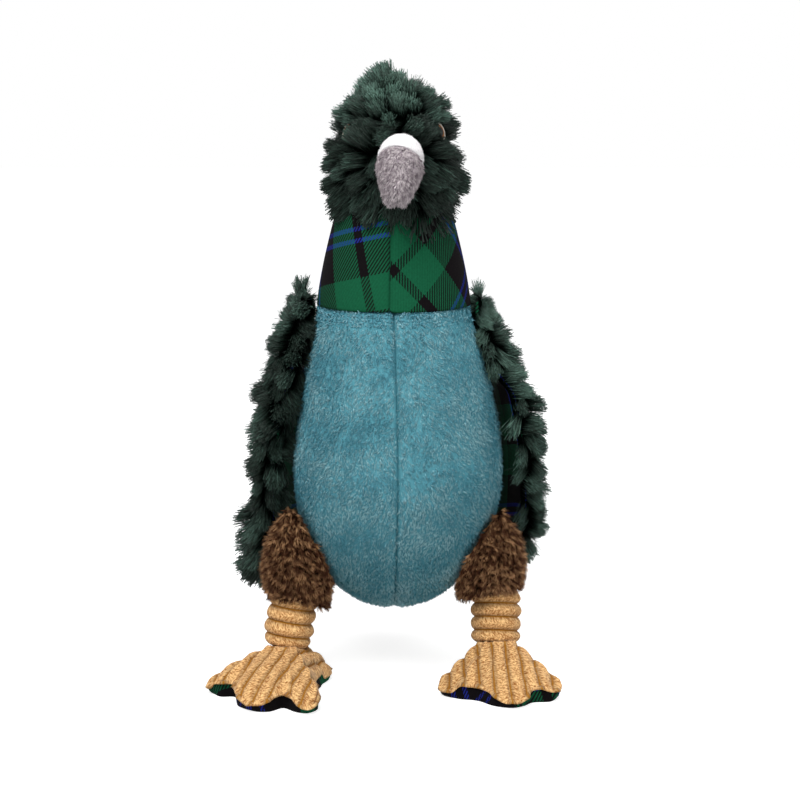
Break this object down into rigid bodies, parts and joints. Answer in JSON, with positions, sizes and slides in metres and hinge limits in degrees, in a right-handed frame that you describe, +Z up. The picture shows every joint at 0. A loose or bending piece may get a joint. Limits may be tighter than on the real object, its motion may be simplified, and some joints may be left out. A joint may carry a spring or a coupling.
{
  "type": "plush bird dog toy",
  "caption": "Standing stuffed bird toy for a dog: fur head, wings and thighs, plush breast and beak, tartan neck, corduroy ankles and webbed feet, squeaker inside.",
  "frame": {"origin": "middle of the bounding box at floor level, between the feet", "axes": "+Z up from the soles, -Y the way the bird looks, +X its own left side"},
  "size_m": [0.1686, 0.1538, 0.292],
  "materials": {
    "green_fur": "long curly pile, dark green",
    "brown_fur": "short mottled pile, brown with tan tips",
    "teal_plush": "short velvety plush",
    "grey_plush": "short velvety plush",
    "white_plush": "short velvety plush",
    "tartan": "twill-woven tartan in green, black and blue",
    "corduroy": "wide-wale corduroy, tan",
    "stuffing": "polyester fibre",
    "white_felt": "pressed felt",
    "amber_felt": "pressed felt",
    "black_felt": "pressed felt",
    "squeaker_plastic": "blown soft plastic"
  },
  "bodies": {
    "torso": {"breast_panel_left": "teal_plush", "breast_panel_right": "teal_plush", "back_panel_left": "tartan", "back_panel_right": "tartan", "body_stuffing": "stuffing", "squeaker_bulb": "squeaker_plastic", "squeaker_reed": "squeaker_plastic"},
    "neck": {"neck_panel_front_left": "tartan", "neck_panel_front_right": "tartan", "neck_panel_back": "tartan", "neck_stuffing": "stuffing"},
    "head": {"head_panel_left": "green_fur", "head_panel_right": "green_fur", "head_stuffing": "stuffing", "cere": "white_plush", "beak_upper": "grey_plush", "beak_lower": "grey_plush", "beak_stuffing": "stuffing", "eye_white_left": "white_felt", "eye_iris_left": "amber_felt", "eye_pupil_left": "black_felt", "eye_white_right": "white_felt", "eye_iris_right": "amber_felt", "eye_pupil_right": "black_felt"},
    "wing_left": {"wing_fur_left": "green_fur", "wing_lining_left": "tartan", "wing_padding_left": "stuffing"},
    "wing_right": {"wing_fur_right": "green_fur", "wing_lining_right": "tartan", "wing_padding_right": "stuffing"},
    "tail": {"tail_fur": "green_fur", "tail_lining": "tartan"},
    "thigh_left": {"thigh_fur_left": "brown_fur", "thigh_stuffing_left": "stuffing"},
    "thigh_right": {"thigh_fur_right": "brown_fur", "thigh_stuffing_right": "stuffing"},
    "ankle_left": {"ankle_sleeve_left": "corduroy", "ankle_stuffing_left": "stuffing"},
    "ankle_right": {"ankle_sleeve_right": "corduroy", "ankle_stuffing_right": "stuffing"},
    "foot_left": {"foot_upper_left": "corduroy", "foot_sole_left": "tartan", "foot_stuffing_left": "stuffing"},
    "foot_right": {"foot_upper_right": "corduroy", "foot_sole_right": "tartan", "foot_stuffing_right": "stuffing"}
  },
  "joints": [
    {"name": "neck_nod", "type": "hinge", "parent": "torso", "child": "neck", "pos_m": [0.00183, -0.01395, 0.148], "axis": [1, 0, 0], "range_deg": [-20, 25]},
    {"name": "head_turn", "type": "hinge", "parent": "neck", "child": "head", "pos_m": [0.00183, -0.01395, 0.202], "axis": [0, 0, 1], "range_deg": [-45, 45]},
    {"name": "wing_left_lift", "type": "hinge", "parent": "torso", "child": "wing_left", "pos_m": [0.04731, -0.00795, 0.178], "axis": [0, -1, 0], "range_deg": [0, 100]},
    {"name": "wing_right_lift", "type": "hinge", "parent": "torso", "child": "wing_right", "pos_m": [-0.04365, -0.00795, 0.178], "axis": [0, 1, 0], "range_deg": [0, 100]},
    {"name": "tail_lift", "type": "hinge", "parent": "torso", "child": "tail", "pos_m": [0.00183, 0.03955, 0.066], "axis": [1, 0, 0], "range_deg": [-25, 45]},
    {"name": "hip_left", "type": "hinge", "parent": "torso", "child": "thigh_left", "pos_m": [0.05111, -0.03192, 0.084], "axis": [-0.9063, -0.4226, 0], "range_deg": [0, 70]},
    {"name": "hip_right", "type": "hinge", "parent": "torso", "child": "thigh_right", "pos_m": [-0.04745, -0.03192, 0.084], "axis": [-0.9063, 0.4226, 0], "range_deg": [0, 70]},
    {"name": "knee_left", "type": "hinge", "parent": "thigh_left", "child": "ankle_left", "pos_m": [0.04883, -0.01795, 0.0435], "axis": [1, 0, 0], "range_deg": [-20, 20]},
    {"name": "knee_right", "type": "hinge", "parent": "thigh_right", "child": "ankle_right", "pos_m": [-0.04517, -0.01795, 0.0435], "axis": [1, 0, 0], "range_deg": [-20, 20]},
    {"name": "ankle_left", "type": "hinge", "parent": "ankle_left", "child": "foot_left", "pos_m": [0.04883, -0.01795, 0.024], "axis": [1, 0, 0], "range_deg": [-20, 20]},
    {"name": "ankle_right", "type": "hinge", "parent": "ankle_right", "child": "foot_right", "pos_m": [-0.04517, -0.01795, 0.024], "axis": [1, 0, 0], "range_deg": [-20, 20]}
  ]
}
